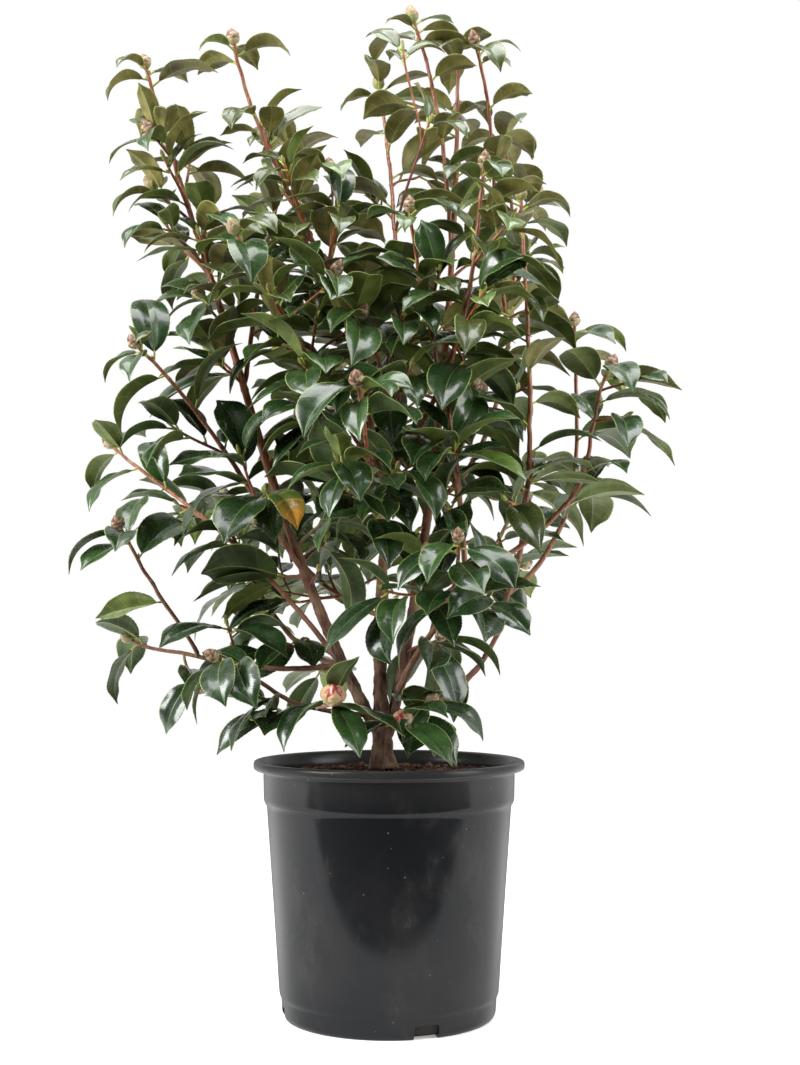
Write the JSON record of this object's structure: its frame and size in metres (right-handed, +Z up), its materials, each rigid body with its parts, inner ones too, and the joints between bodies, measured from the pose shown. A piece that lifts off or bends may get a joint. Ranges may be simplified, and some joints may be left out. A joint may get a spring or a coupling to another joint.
{
  "type": "potted camellia shrub",
  "caption": "Upright evergreen camellia shrub with forking stems, toothed glossy leaves and swelling flower buds, growing in a round black nursery pot.",
  "frame": {"origin": "centre of the pot's flat underside, on the floor", "axes": "+Z up along the pot's axis, -Y to the front, +X to the right seen from the front"},
  "size_m": [0.5976, 0.4977, 0.9993],
  "materials": {
    "pot_plastic": "satin",
    "compost": "matte",
    "bark": "matte",
    "young_wood": "satin",
    "foliage": "gloss"
  },
  "bodies": {
    "root": {"pot": "pot_plastic", "compost": "compost", "main_stem": "bark", "right_stem": "bark", "left_stem": "bark", "tall_left_stem": "bark", "far_right_stem": "bark", "inner_right_stem": "bark", "upright_right": "young_wood", "high_right": "young_wood", "outer_right": "young_wood", "inner_centre": "young_wood", "mid_left": "young_wood", "outer_left": "young_wood", "lowest_left": "young_wood", "low_left": "young_wood", "low_front_left": "young_wood", "inner_left": "young_wood", "slant_left": "young_wood", "front_centre": "young_wood", "front_right": "young_wood", "rear_left": "young_wood", "tall_right": "young_wood", "top_right": "young_wood", "top_centre": "young_wood", "high_centre": "young_wood", "low_front": "young_wood", "front_low": "young_wood", "front_mid": "young_wood", "rear_mid": "young_wood", "rear_low": "young_wood", "rear_low_right": "young_wood", "right_stem_leaves": "foliage", "left_stem_leaves": "foliage", "tall_left_stem_leaves": "foliage", "upright_right_leaves": "foliage", "high_right_leaves": "foliage", "outer_right_leaves": "foliage", "inner_centre_leaves": "foliage", "mid_left_leaves": "foliage", "outer_left_leaves": "foliage", "lowest_left_leaves": "foliage", "low_left_leaves": "foliage", "low_front_left_leaves": "foliage", "inner_left_leaves": "foliage", "slant_left_leaves": "foliage", "front_centre_leaves": "foliage", "front_right_leaves": "foliage", "rear_left_leaves": "foliage", "tall_right_leaves": "foliage", "top_right_leaves": "foliage", "top_centre_leaves": "foliage", "high_centre_leaves": "foliage", "low_front_leaves": "foliage", "front_low_leaves": "foliage", "front_mid_leaves": "foliage", "rear_mid_leaves": "foliage", "rear_low_leaves": "foliage", "rear_low_right_leaves": "foliage"}
  },
  "joints": []
}
